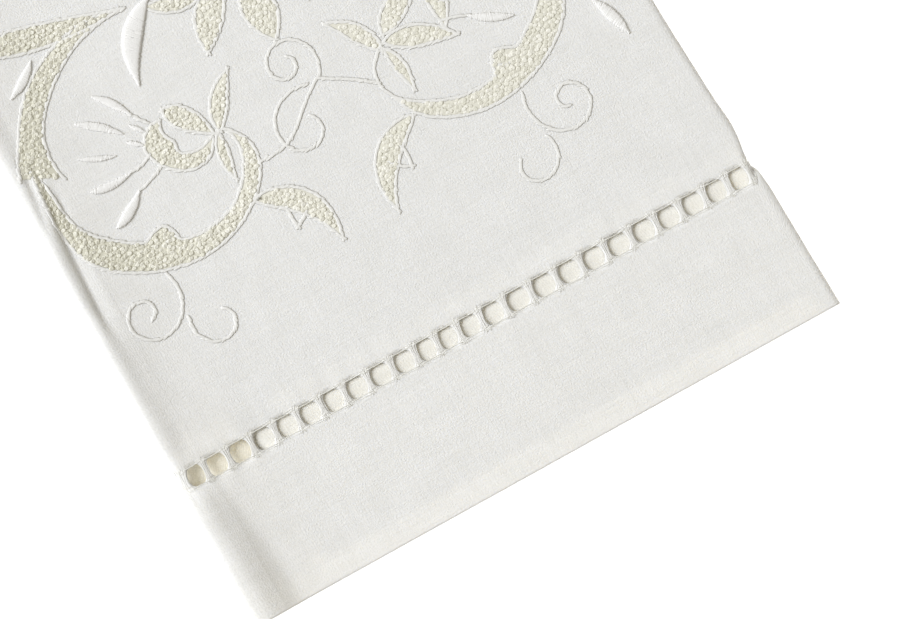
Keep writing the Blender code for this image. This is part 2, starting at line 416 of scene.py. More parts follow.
@dataclass
class FoldedLinen:
    """The sheet of linen: its folds, its ladder of holes and its mesh.

    A ramp is where it starts across or up the cloth, and how far on it is full.
    """

    width: float = 356.0
    length: float = 559.0
    linen_thick: float = 0.45
    hem_thick: float = 0.70
    deep_hem: float = 28.4
    ladder_top: float = 32.6
    far_hem: float = 10.0
    side_hem: float = 6.0
    pitch: float = 5.13
    bar: float = 1.1
    lean: float = 0.05
    hole_roundness: float = 2.5
    top_face: float = 3.3
    middle_face: float = 1.85
    left_middle: float = 2.0
    right_reach: float = 1.3
    centre: float = -7.2
    right_retreat: float = 4.7
    left_retreat: float = 5.2
    retreat_over: float = 3.0
    right_from: float = 68.2
    left_from: float = -54.8
    hem_delay: float = 5.5
    delay_over: float = 18.0
    wing_drawn: float = 125.0
    wing_ease: float = 2.2
    ease_from: float = 72.0
    climb_power: float = 1.4
    roll_power: float = 0.65
    billow: float = 0.05
    shown_ramp: Point = (60.0, -12.0)
    swell: float = 1.0
    swell_ramp: Point = (-32.0, -18.0)
    roll_ramp: Point = (-61.0, 6.0)
    hidden_rise: float = 1.5
    rise_ramp: Point = (-57.8, -3.4)
    rise_end: Point = (-84.0, 14.0)
    rise_above: Point = (70.0, -30.0)
    right_rise: float = 0.25
    right_ramp: Point = (70.0, 4.0)
    right_bell: Point = (26.1, 1.9)
    pull: float = 0.07
    pull_fade: float = 2.2
    section_points: int = 61
    grid_columns: int = 1425
    grid_rows: int = 72
    close_to: float = 140.0
    close_step: float = 0.7
    close_left: Point = (-67.0, -40.0)
    close_right: Point = (62.0, 78.0)
    finish: LinenFinish = LinenFinish()
    _u: Array = field(init=False, repr=False)
    _v: Array = field(init=False, repr=False)
    _points: Array = field(init=False, repr=False)
    _normals: Array = field(init=False, repr=False)

    def __post_init__(self) -> None:
        """Work out the folded surface once, on a close grid."""
        half = self.width / 2
        self._u = np.linspace(-half, half, self.grid_columns)
        close = steps(0, self.close_to, self.close_step)
        self._v = np.concatenate([close, np.linspace(self.close_to, self.length, self.grid_rows)])
        self._points = self._folded(self._u, self._v)
        self._normals = self._outward(self._points)
        relief = self.relief(self._u[None, :], self._v[:, None])
        self._points += self._normals * relief[..., None]
        self._normals = self._outward(self._points)

    @staticmethod
    def _outward(points: Array) -> Array:
        """The cloth's outer side: its way across, crossed with its way up."""
        return unit(np.cross(np.gradient(points, axis=1), np.gradient(points, axis=0)))

    def _row_values(self, v: Array) -> list[Array]:
        """The fold table's columns, each as a column of values at the heights v."""
        table = np.array(FOLD_ROWS)
        return [smooth_between(v, table[:, 0], table[:, c])[:, None] for c in range(1, 7)]

    def _folded(self, u: Array, v: Array) -> Array:
        """Lay the flat cloth along the folded section, keeping its length.

        Each section runs under the top layer to the right, round a half ellipse, back
        over the top, up a smooth step and round the rolled left fold, then right along
        the table. The roll's upper quarter is an ellipse with its sine and cosine raised
        to the roll's power, which flattens its top. A cloth point lies where its length
        from the middle line has been walked, and the right wing's a little further out.

        Args:
            u: Distances from the middle line.
            v: Distances up from the hem.

        Returns:
            Points, one row for each v and one column for each u.
        """
        tilt, left, right, inset, rise, slope = self._row_values(v)
        t = np.linspace(0, 1, self.section_points)[None, :]
        turn = t * math.pi / 2
        half = (self.top_face - self.middle_face) / 2
        start, crest = right - self.right_reach, left + inset
        foot, flat = crest + slope, np.ones_like(left * t)
        crest_z, mid, wing = self.top_face + rise, self.left_middle, self.wing_drawn
        climb, rolled = t**self.climb_power, self.roll_power
        xs = (
            start - wing * (1 - t),
            start + self.right_reach * np.sin(turn),
            start + self.right_reach * np.cos(turn),
            start + (foot - start) * t,
            foot - slope * t,
            crest - inset * np.sin(turn) ** rolled,
            crest - inset * np.cos(turn),
            crest + wing * t,
        )
        zs = (
            self.middle_face * flat,
            self.middle_face + half * (1 - np.cos(turn)) * flat,
            self.middle_face + half * (1 + np.sin(turn)) * flat,
            self.top_face * flat,
            self.top_face + rise * climb**2 * (3 - 2 * climb),
            mid + (crest_z - mid) * np.clip(np.cos(turn), 0, 1) ** rolled,
            mid * (1 - np.sin(turn)) * flat,
            0 * flat,
        )
        x, z = np.concatenate(xs, axis=1), np.concatenate(zs, axis=1)
        step = np.hypot(np.diff(x, axis=1), np.diff(z, axis=1))
        walked = np.concatenate([np.zeros((len(v), 1)), np.cumsum(step, axis=1)], axis=1)
        top_start = 3 * t.shape[1]
        middle_at = walked[:, top_start] + x[:, top_start] - self.centre
        u = u + self.wing_ease * ramp(u, self.ease_from, self.width / 2 - self.ease_from)
        lay_x = np.array([np.interp(-u, w - m, row) for w, m, row in zip(walked, middle_at, x)])
        lay_z = np.array([np.interp(-u, w - m, row) for w, m, row in zip(walked, middle_at, z)])
        y = v[:, None] + self._drawn_back(u[None, :], v[:, None]) - tilt * lay_x
        return np.stack([lay_x, y - self.length / 2, lay_z], axis=-1)

    def _drawn_back(self, u: Array, v: Array) -> Array:
        """How far each hidden wing sits back: from its fold on, later near the hem's edge."""
        fade = 1 - v / self.length
        later = self.hem_delay * np.clip(1 - v / self.delay_over, 0, 1)
        right = np.clip((u - self.right_from - later) / self.retreat_over, 0, 1)
        left = np.clip((self.left_from - later - u) / self.retreat_over, 0, 1)
        return fade * (self.right_retreat * right + self.left_retreat * left)

    def relief(self, u: Array, v: Array) -> Array:
        """Creases, a slow billow and the ladder's pull, as heights over the plain fold.

        A crease falls off as a bell on either side of its line and fades over a quarter of
        it at each end. The billow is a sum of long waves. Beside the ladder the cloth ripples
        once a bar. Towards the left fold it swells, as a parabola, and lies down again in the
        roll. The hidden wings rise towards the ladder's holes, the left one most, and the
        right one as a bell across its height.

        Args:
            u: Distances from the middle line.
            v: Distances up from the hem.

        Returns:
            The height at each point.
        """
        u, v = np.broadcast_arrays(u, v)
        height = np.zeros(u.shape)
        for crease in CREASES:
            (u0, v0), (u1, v1) = crease.start, crease.end
            du, dv = u1 - u0, v1 - v0
            share = ((u - u0) * du + (v - v0) * dv) / (du**2 + dv**2)
            away = np.hypot(u - u0 - du * share, v - v0 - dv * share)
            ends = ramp(share, 0, 0.25) * ramp(share, 1, -0.25)
            height -= crease.depth * ends * np.exp(-0.5 * (away / crease.width) ** 2)
        waves = sum(np.sin(u / across + v / up + start) for across, up, start in WAVES)
        shown = ramp(np.abs(u), *self.shown_ramp)
        height += self.billow * waves / 2 * shown
        up, down = ramp(u, *self.swell_ramp), ramp(u, *self.roll_ramp)
        height += self.swell * up**2 * down**2 * (3 - 2 * down)
        near = ramp(u, *self.rise_ramp) * ramp(u, *self.rise_end)
        height -= self.hidden_rise * near**2 * (3 - 2 * near) * ramp(v, *self.rise_above)
        bell_at, bell_width = self.right_bell
        bell = np.exp(-(((v - bell_at) / bell_width) ** 2))
        height -= self.right_rise * ramp(u, *self.right_ramp) * bell
        beside = np.maximum(self.deep_hem - v, v - self.ladder_top)
        pull = np.exp(-((np.maximum(beside, 0) / self.pull_fade) ** 2))
        height += self.pull * pull * shown * np.cos(2 * math.pi * u / self.pitch)
        return height

    def _looked_up(self, grid: Array, u: Array, v: Array) -> Array:
        """Read the close grid between its points, in proportion both ways."""
        u = np.clip(u, self._u[0], self._u[-1])
        v = np.clip(v, self._v[0], self._v[-1])
        j = np.clip(np.searchsorted(self._u, u) - 1, 0, len(self._u) - 2)
        i = np.clip(np.searchsorted(self._v, v) - 1, 0, len(self._v) - 2)
        a = ((u - self._u[j]) / (self._u[j + 1] - self._u[j]))[..., None]
        b = ((v - self._v[i]) / (self._v[i + 1] - self._v[i]))[..., None]
        low = grid[i, j] * (1 - a) + grid[i, j + 1] * a
        high = grid[i + 1, j] * (1 - a) + grid[i + 1, j + 1] * a
        return low * (1 - b) + high * b

    def drift(self, u: Array) -> Array:
        """How far the ladder's bars stand from their even places, across the cloth."""
        table = np.array(DRIFT)
        return smooth_between(u, table[:, 0], table[:, 1])

    def _cells(self) -> int:
        """How many of the ladder's holes lie on each side of the middle line."""
        return int((self.width / 2 - self.side_hem) / self.pitch)

    def bar_numbers(self) -> Array:
        """The bars' numbers, counted from the middle line."""
        return np.arange(-self._cells(), self._cells() + 1)

    def bar_at(self, number: Array, v: Array) -> Array:
        """Where the middle of a bar is at a height: its even place, drift and lean."""
        even = number * self.pitch
        lean = self.lean * (v - (self.deep_hem + self.ladder_top) / 2)
        return even + self.drift(even) + lean

    def place(self, u: Array, v: Array, height: Array | float = 0.0) -> Array:
        """Points over the cloth's outer face.

        Args:
            u: Distances from the middle line.
            v: Distances up from the hem.
            height: How far above the face.

        Returns:
            Points in millimetres, in the part's frame.
        """
        u, v = np.broadcast_arrays(np.asarray(u, float), np.asarray(v, float))
        lift = np.broadcast_to(np.asarray(height, float), u.shape)[..., None]
        return self._looked_up(self._points, u, v) + lift * self.normal(u, v)

    def normal(self, u: Array, v: Array) -> Array:
        """The outer side's direction at cloth points."""
        return unit(self._looked_up(self._normals, u, v))

    def _columns(self) -> tuple[Array, Array]:
        """Every column across the cloth, and which of them run its whole length.

        A pitch of the ladder has eight columns, sixteen in the folds. In the flats only
        every fourth goes on past the ladder.

        Returns:
            The columns' distances from the middle line, and a mask.
        """
        half_bar = self.bar / 2
        hole = self.pitch - self.bar
        in_cell = np.concatenate([[0.0], half_bar + hole * np.array([0, 0.15, 0.32, 0.5])])
        in_cell = np.concatenate([in_cell, self.pitch - in_cell[3:0:-1]])
        cells = self._cells()
        starts = np.arange(-cells, cells) * self.pitch
        u = (starts[:, None] + in_cell[None, :]).ravel()
        whole = np.tile(np.arange(8) % 4 == 0, len(starts))
        folded = np.zeros(len(u), bool)
        for low, high in (self.close_left, self.close_right):
            folded |= (u > low) & (u < high)
        middles = (u[folded] + np.append(u, 1e9)[1:][folded[: len(u)]]) / 2
        edge, inner = self.width / 2, (self.width - self.side_hem) / 2
        ends = np.array([-edge, -inner, inner, edge, cells * self.pitch])
        every = np.concatenate([u, middles, ends])
        keep = np.concatenate([whole | folded, np.ones(len(middles) + len(ends), bool)])
        order = np.argsort(every)
        return every[order], keep[order]

    def _rows(self) -> tuple[Array, Array]:
        """Every row up the cloth, and which of them lie in the ladder."""
        low, high = self.deep_hem, self.ladder_top
        tall = high - low
        rung = low + tall * np.array([0, 0.15, 0.32, 0.5, 0.68, 0.85, 1.0])
        hem = np.array([0, 0.4, 1.2, 2.6, 4.6, 7, 9.5, 12, 14.5, 17, 19.5, 22, 24.3, 26.2, 27.5])
        body = np.concatenate([[33.5, 34.6], steps(36, 66, 1.6), steps(66, 106, 1.1)])
        far = self.length - self.far_hem
        rest = np.concatenate([steps(106, 134, 2.0), steps(134, far, 7.5)])
        last = [far, far + self.far_hem / 2, self.length]
        v = np.concatenate([hem, rung, body, rest, last])
        return v, (v >= low) & (v <= high)

    def _rounded(self, u: Array, v: Array) -> tuple[Array, Array]:
        """Draw a hole's rim in from its square corners on to a rounded square.

        A rim point at (a, b) of a square from -1 to 1 is divided by (|a|^r + |b|^r)^(1/r),
        where r is the roundness.

        Args:
            u: Distances from the middle line.
            v: Distances up from the hem.

        Returns:
            The same two distances after the change.
        """
        half_w = (self.pitch - self.bar) / 2
        half_h = (self.ladder_top - self.deep_hem) / 2
        mid_u = (np.floor(u / self.pitch) + 0.5) * self.pitch
        mid_v = (self.ladder_top + self.deep_hem) / 2
        a, b = (u - mid_u) / half_w, (v - mid_v) / half_h
        rim = np.isclose(np.maximum(abs(a), abs(b)), 1, atol=1e-6) & (abs(b) < 1 + 1e-6)
        power = self.hole_roundness
        shrink = np.maximum(abs(a) ** power + abs(b) ** power, 1e-9) ** (-1 / power)
        shrink = np.where(rim, shrink, 1.0)
        lean = self.lean * b * half_h
        return mid_u + a * half_w * shrink + lean, mid_v + b * half_h * shrink

    def build(self) -> bpy.types.Object:
        """Make the sheet, give it its thickness and dress it.

        Returns:
            The sheet's object.
        """
        u, whole = self._columns()
        v, in_ladder = self._rows()
        grid_u, grid_v = np.meshgrid(u, v)
        rims = self._rounded(grid_u[in_ladder], grid_v[in_ladder])
        grid_u[in_ladder], grid_v[in_ladder] = rims
        grid_u += self.drift(grid_u)
        faces = self._faces(u, whole, in_ladder)
        used = np.unique(np.concatenate([group.ravel() for group in faces]))
        polygons = [face for group in faces for face in np.searchsorted(used, group).tolist()]
        flat_u, flat_v = grid_u.ravel()[used], grid_v.ravel()[used]
        mesh = bpy.data.meshes.new("linen_cloth")
        mesh.from_pydata(self.place(flat_u, flat_v) * MM, [], polygons)
        mesh.shade_smooth()
        corners = np.empty(len(mesh.loops), dtype=np.int64)
        mesh.loops.foreach_get("vertex_index", corners)
        layer = mesh.uv_layers.new(name="threads")
        flat = np.stack([flat_u[corners], flat_v[corners]], axis=1) * MM
        layer.data.foreach_set("uv", flat.astype(np.float32).ravel())
        cloth = linked("linen_cloth", mesh)
        self._thicken(cloth, flat_u, flat_v)
        mesh.materials.append(self.finish.material())
        return cloth

    def _faces(self, u: Array, whole: Array, in_ladder: Array) -> list[Array]:
        """The grid's faces, with the ladder's holes left out.

        Four-sided faces fill the ladder's bars and side hems, and the rows on both sides of
        it, where only the whole columns go on. Faces with more corners join the two.

        Args:
            u: Each column's distance from the middle line.
            whole: Whether each column runs the cloth's whole length.
            in_ladder: Whether each row lies in the ladder.

        Returns:
            Arrays of faces, each array with its own number of corners.
        """
        numbers = np.arange(len(in_ladder) * len(u)).reshape(-1, len(u))
        rows, outside = numbers[in_ladder], numbers[~in_ladder][:, whole]
        first, last = np.flatnonzero(in_ladder)[[0, -1]]
        middle = (u[:-1] + u[1:]) / 2
        from_bar = np.abs((middle + self.pitch / 2) % self.pitch - self.pitch / 2)
        solid = (from_bar < self.bar / 2) | (np.abs(middle) > self._cells() * self.pitch)
        made = [sheet_faces(rows)[np.tile(solid, len(rows) - 1)]]
        made += [sheet_faces(outside[:first]), sheet_faces(outside[first:])]
        at = np.flatnonzero(whole)
        gaps = np.diff(at)
        for gap in np.unique(gaps):
            start = at[:-1][gaps == gap][:, None]
            along, ends = start + np.arange(gap + 1), start + np.array([[0, gap]])
            made.append(np.hstack([numbers[first - 1][ends], numbers[first][along[:, ::-1]]]))
            made.append(np.hstack([numbers[last][along], numbers[last + 1][ends[:, ::-1]]]))
        return made

    def _thicken(self, cloth: bpy.types.Object, u: Array, v: Array) -> None:
        """Give the sheet its thickness inwards, more where it is hemmed."""
        hemmed = (v < self.deep_hem - self.hem_thick) | (v > self.length - self.far_hem)
        hemmed |= np.abs(u) > self.width / 2 - self.side_hem
        group = cloth.vertex_groups.new(name="hem")
        group.add(np.flatnonzero(hemmed).tolist(), 1.0, "REPLACE")
        solid = cloth.modifiers.new("thickness", "SOLIDIFY")
        solid.thickness = self.hem_thick * MM
        solid.offset = -1.0
        solid.vertex_group = group.name
        solid.thickness_vertex_group = self.linen_thick / self.hem_thick
        solid.use_even_offset = False


class Heap:
    """Meshes gathered into one object."""

    def __init__(self) -> None:
        """Start with nothing."""
        self.points: list[Array] = []
        self.faces: list[list[int]] = []
        self.tones: list[Array] = []
        self.count = 0

    def add(self, points: Array, faces: list[Array], tones: Array) -> None:
        """Add one mesh.

        Args:
            points: Its points, one in each row.
            faces: Arrays of faces, each array with its own number of corners.
            tones: A shade from 0 to 1 for each point.
        """
        self.points.append(points)
        self.tones.append(tones)
        for group in faces:
            self.faces += (group + self.count).tolist()
        self.count += len(points)

    def sew(
        self,
        cloth: FoldedLinen,
        u: Array,
        v: Array,
        height: Array,
        radii: Array | float,
        tones: Array,
        sides: int = 5,
        tall: Array | float = 1.0,
    ) -> None:
        """Lay a yarn over the cloth along each of many paths.

        A ring of points turns round the path: the cosine of its angle goes across, the sine
        goes up, in proportion to how tall the yarn is. Both ends are closed.

        Args:
            cloth: The cloth that the yarns lie on.
            u: The paths' distances from its middle line, as yarn by step.
            v: Their distances up from its hem.
            height: Their height above its face.
            radii: The yarn's radius, for all or for each.
            tones: One shade for each yarn.
            sides: Points in a ring.
            tall: The yarn's height, where its width is 1, for all or for each.
        """
        paths = cloth.place(u, v, height)
        count, length = paths.shape[:2]
        ahead = unit(np.gradient(paths, axis=1))
        across = unit(np.cross(ahead, cloth.normal(u, v)))
        lift = np.cross(across, ahead) * np.reshape(tall, (-1, 1, 1))
        angle = (np.arange(sides) * 2 * math.pi / sides)[:, None]
        around = np.cos(angle) * across[:, :, None, :] + np.sin(angle) * lift[:, :, None, :]
        radii = np.broadcast_to(radii, (count, length))[..., None, None]
        points = (paths[:, :, None, :] + radii * around).reshape(-1, 3)
        rings = np.arange(count * length * sides).reshape(count, length, sides)
        faces = [ring_faces(rings), rings[:, 0], rings[:, -1, ::-1]]
        self.add(points, faces, np.repeat(tones, length * sides))

    def build(self, name: str, finish: YarnFinish) -> bpy.types.Object:
        """Make the object.

        Args:
            name: The piece's name.
            finish: Its thread's finish.

        Returns:
            The object, linked to the scene.
        """
        mesh = bpy.data.meshes.new(name)
        mesh.from_pydata(np.concatenate(self.points) * MM, [], self.faces)
        mesh.shade_smooth()
        tone = mesh.attributes.new("tone", "FLOAT", "POINT")
        tone.data.foreach_set("value", np.concatenate(self.tones).astype(np.float32))
        mesh.materials.append(finish.material())
        return linked(name, mesh)


def left_of(start: Array, end: Array) -> Array:
    """The direction square to the left of the way from one point to another."""
    way = (end - start) / np.linalg.norm(end - start)
    return np.array([-way[1], way[0]])


class Fill(Enum):
    """What a motif is worked in."""

    KNOTS = "French knots inside an outline"
    SATIN = "threads laid side by side across it"


@dataclass(frozen=True)
class Leaf:
    """A leaf, petal or ray, from its base to its tip.

    Its middle line is straight but for a bend, four times t(1 - t) of it, to the left of
    the way from base to tip. Its width is a sine of t, raised so that it peaks in place.
    """

    base: Point
    tip: Point
    bend: float
    width: float
    peak: float = 0.45
    fill: Fill = Fill.KNOTS

    def edges(self, count: int = 25) -> tuple[Array, Array]:
        """Its two edges from base to tip, left then right."""
        t = np.linspace(0, 1, count)[:, None]
        base, tip = np.array(self.base), np.array(self.tip)
        left = left_of(base, tip)
        middle = base + (tip - base) * t + left * self.bend * 4 * t * (1 - t)
        side = unit(np.gradient(middle, axis=0))[:, ::-1] * np.array([-1, 1])
        power = math.log(0.5) / math.log(self.peak)
        half = self.width / 2 * np.sin(math.pi * t**power) ** 0.85
        return middle + side * half, middle - side * half


@dataclass(frozen=True)
class Band:
    """A scroll's band, swept round a centre, smooth between the rays of its table.

    A ray is its angle in degrees, its outer edge's radius and the band's width there.
    """

    centre: Point
    rows: tuple[Ray, ...]
    fill: Fill = Fill.KNOTS

    def edges(self, count: int = 60) -> tuple[Array, Array]:
        """Its two edges, outer then inner."""
        table = np.array(self.rows)
        place = np.arange(len(table), dtype=float)
        t = np.linspace(0, len(table) - 1, count)
        angle, radius, width = (smooth_between(t, place, table[:, c]) for c in range(3))
        ray = np.stack([np.cos(np.radians(angle)), np.sin(np.radians(angle))], axis=1)
        centre = np.array(self.centre)
        return centre + ray * radius[:, None], centre + ray * (radius - width)[:, None]


@dataclass(frozen=True)
class Curl:
    """A tendril: a spiral whose radius grows by an even factor all the way."""

    centre: Point
    radius_from: float
    radius_to: float
    start: float
    sweep: float
    fill: None = None

    def edges(self, count: int = 70) -> tuple[Array]:
        """Its one line, from the first radius to the last."""
        t = np.linspace(0, 1, count)
        angle = np.radians(self.start + self.sweep * t)
        radius = self.radius_from * (self.radius_to / self.radius_from) ** t
        ray = np.stack([radius * np.cos(angle), radius * np.sin(angle)], axis=1)
        return (np.array(self.centre) + ray,)


@dataclass(frozen=True)
class Stem:
    """A thin stem from one point to another, bent to its left and, past halfway, back."""

    start: Point
    end: Point
    bend: float
    sway: float = 0.0
    fill: None = None

    def edges(self, count: int = 30) -> tuple[Array]:
        """Its one line."""
        t = np.linspace(0, 1, count)[:, None]
        start, end = np.array(self.start), np.array(self.end)
        offset = self.bend * 4 * t * (1 - t) + self.sway * np.sin(2 * math.pi * t)
        return (start + (end - start) * t + left_of(start, end) * offset,)


Motif = Leaf | Band | Curl | Stem


@dataclass(frozen=True)
class Group:
    """Motifs that are worked on both sides of the middle line.

    Their points give how far out from the middle line they are, and how far up. On the
    right the group is nudged, as a hand would place it.
    """

    motifs: tuple[Motif, ...]
    nudge: Point = (0.0, 0.0)

    def to_cloth(self, points: Array, side: int) -> Array:
        """Put the group's points on the cloth, side -1 for left and 1 for right."""
        if side < 0:
            return points * np.array([-1.0, 1.0])
        return points + np.array(self.nudge)


SCROLL_CENTRE = (32.2, 86.5)
SCROLL_ROWS = (
    (27, 21.9, 1.2), (12, 20.6, 2.2), (-8, 20.3, 3.1), (-24, 20.8, 4.9),
    (-40, 20.5, 5.9), (-54, 19.9, 5.8), (-61, 19.7, 5.8), (-66, 19.6, 7.0),
    (-71, 19.6, 7.9), (-77, 19.6, 8.2), (-82.5, 19.7, 7.9), (-86, 19.8, 6.6),
    (-87.5, 19.8, 5.2), (-91, 19.9, 4.6), (-104, 20.3, 4.1), (-119, 20.8, 3.5),
    (-131, 21.3, 3.1),
)
LEFT_TAIL = (
    (-147, 21.9, 3.3), (-158, 21.6, 2.9), (-166, 20.6, 2.2), (-172, 19.1, 1.2),
    (-178, 17.2, 0.2),
)
RIGHT_TAIL = ((-142, 21.3, 1.9), (-152, 20.7, 0.2))
SCROLL_NUDGE = (2.1, -1.5)
LEFT_SCROLL = Group((Band(SCROLL_CENTRE, SCROLL_ROWS + LEFT_TAIL),))
RIGHT_SCROLL = Group(
    (Band(SCROLL_CENTRE, SCROLL_ROWS + RIGHT_TAIL), Stem((14.9, 75.8), (16.5, 87.0), 3.1)),
    nudge=SCROLL_NUDGE,
)
SCROLL = Group(
    (
        Stem((33.7, 74.2), (36.0, 72.2), -0.6),
        Band(
            SCROLL_CENTRE,
            (
                (24, 23.9, 8.4), (29, 24.2, 7.4), (35, 24.4, 6.4), (44, 24.9, 5.1),
                (54, 26.0, 4.7), (65, 27.4, 4.6), (79, 28.9, 3.9), (92, 30.2, 2.6),
                (103, 30.9, 1.3), (111, 31.2, 0.2),
            ),
        ),
        Leaf((52.4, 122.8), (22.0, 115.7), 0.7, 4.8, 0.40),
        Leaf((48.0, 110.6), (41.2, 115.2), 0.5, 1.8, 0.5, Fill.SATIN),
        Leaf((16.2, 86.0), (9.3, 95.6), -0.9, 3.3, 0.45),
        Leaf((16.6, 86.0), (17.9, 76.6), 0.5, 2.1, 0.45),
        Leaf((25.3, 101.0), (15.6, 115.2), -2.3, 4.0, 0.55, Fill.SATIN),
    ),
    nudge=SCROLL_NUDGE,
)
BUD = Group(
    (
        Band(
            (23.7, 88.3),
            (
                (70, 5.4, 0.3), (54, 6.2, 2.4), (34, 6.6, 4.7), (12, 6.8, 5.6),
                (-16, 6.1, 4.9), (-45, 5.8, 3.9), (-70, 5.9, 3.3), (-95, 6.3, 3.3),
                (-118, 6.5, 2.7), (-140, 6.5, 1.6), (-156, 6.3, 0.3),
            ),
        ),
        Leaf((23.9, 94.9), (17.4, 86.2), -0.3, 4.1, 0.40),
        Leaf((34.4, 103.6), (29.4, 96.8), -0.5, 1.5, 0.45, Fill.SATIN),
        Leaf((39.8, 100.6), (32.6, 94.6), -0.4, 1.6, 0.45, Fill.SATIN),
        Leaf((42.4, 94.4), (35.9, 91.6), 0.2, 1.1, 0.5, Fill.SATIN),
        Leaf((43.4, 87.7), (34.8, 87.4), 0.5, 1.6, 0.4, Fill.SATIN),
        Leaf((42.4, 79.2), (35.2, 83.6), 0.5, 2.0, 0.45, Fill.SATIN),
        Leaf((32.8, 92.8), (30.2, 90.8), 0.0, 0.9, 0.5, Fill.SATIN),
        Leaf((30.8, 95.4), (28.8, 93.0), 0.0, 0.8, 0.5, Fill.SATIN),
        Stem((29.4, 96.8), (27.6, 94.4), 0.1),
        Stem((34.8, 87.4), (30.4, 88.4), 0.3),
        Stem((35.2, 83.6), (29.4, 85.6), 0.3),
    ),
)
OPEN_BUD = Group(
    (
        Leaf((19.8, 87.0), (30.6, 93.6), 0.5, 4.2, 0.42),
        Leaf((30.8, 82.8), (30.0, 93.0), -1.5, 3.4, 0.5),
        Leaf((19.3, 85.6), (32.2, 80.3), 0.7, 4.2, 0.42),
        Leaf((35.8, 82.3), (43.4, 78.2), -0.3, 1.7, 0.5, Fill.SATIN),
        Leaf((36.6, 86.6), (44.6, 86.2), 0.3, 1.6, 0.5, Fill.SATIN),
        Leaf((36.0, 90.6), (43.4, 93.2), 0.3, 1.4, 0.5, Fill.SATIN),
        Leaf((34.0, 94.6), (40.0, 99.6), 0.4, 1.5, 0.5, Fill.SATIN),
        Stem((31.0, 84.0), (35.8, 82.3), 0.2),
        Stem((31.4, 87.4), (36.6, 86.6), 0.2),
    ),
)
SPLIT_LEAF = Group(
    (
        Leaf((17.0, 71.2), (5.7, 56.8), -3.6, 4.6, 0.42),
        Stem((12.2, 67.0), (12.1, 62.9), 0.2),
        Stem((12.1, 62.9), (8.8, 65.4), 0.3),
    ),
    nudge=(0.4, -0.4),
)
TENDRILS = Group(
    (Curl((45.5, 62.2), 1.5, 8.6, 240, -453), Curl((33.7, 54.6), 5.8, 2.3, 30, -245)),
    nudge=(-0.8, -2.8),
)
FLOWER = Group(
    (
        Leaf((0.6, 112.5), (10.8, 100.2), 1.2, 5.4, 0.55),
        Leaf((4.8, 111.4), (17.4, 114.0), -1.2, 3.4, 0.5),
        Leaf((58.0, 73.6), (60.9, 64.6), 0.3, 2.2, 0.5, Fill.SATIN),
    ),
)
MIDDLE = Group(
    (
        Leaf((1.4, 112.5), (1.6, 96.2), 0.2, 6.4, 0.6),
        Curl((0.8, 91.0), 1.6, 6.7, 40, -442),
        Stem((5.8, 86.5), (-12.2, 77.2), 1.8, -0.8),
        Curl((-1.5, 78.6), 8.2, 2.4, 62, 335),
        Stem((5.2, 85.6), (14.6, 79.4), 0.3),
    ),
)
# Each group, and the sides of the middle line that it is worked on.
SPRAY: tuple[tuple[Group, tuple[int, ...]], ...] = (
    (LEFT_SCROLL, (-1,)),
    (RIGHT_SCROLL, (1,)),
    (SCROLL, (-1, 1)),
    (BUD, (-1,)),
    (OPEN_BUD, (1,)),
    (SPLIT_LEAF, (-1, 1)),
    (TENDRILS, (-1, 1)),
    (FLOWER, (-1, 1)),
    (MIDDLE, (1,)),
)


def walked_evenly(line: Array, step: float) -> tuple[Array, Array]:
    """Even paces along a line.

    Args:
        line: The line's points.
        step: The length of a pace.

    Returns:
        The places reached, and the way ahead at each.
    """
    length = np.concatenate([[0], np.cumsum(np.linalg.norm(np.diff(line, axis=0), axis=1))])
    paces = np.linspace(0, length[-1], max(3, round(length[-1] / step) + 1))
    at = np.stack([np.interp(paces, length, line[:, c]) for c in (0, 1)], axis=1)
    return at, unit(np.gradient(at, axis=0))


def lies_inside(points: Array, ring: Array) -> Array:
    """Whether points lie in a closed ring: an odd number of its sides is to their right.

    Args:
        points: The points asked about.
        ring: The ring's corners in order.

    Returns:
        One truth value for each point.
    """
    x, y = points[:, 0, None], points[:, 1, None]
    ax, ay = ring.T
    bx, by = np.roll(ring, -1, axis=0).T
    crossed = (ay > y) != (by > y)
    rise = np.where(np.abs(by - ay) < 1e-9, 1e-9, by - ay)
    return (crossed & (x < ax + (y - ay) * (bx - ax) / rise)).sum(axis=1) % 2 == 1


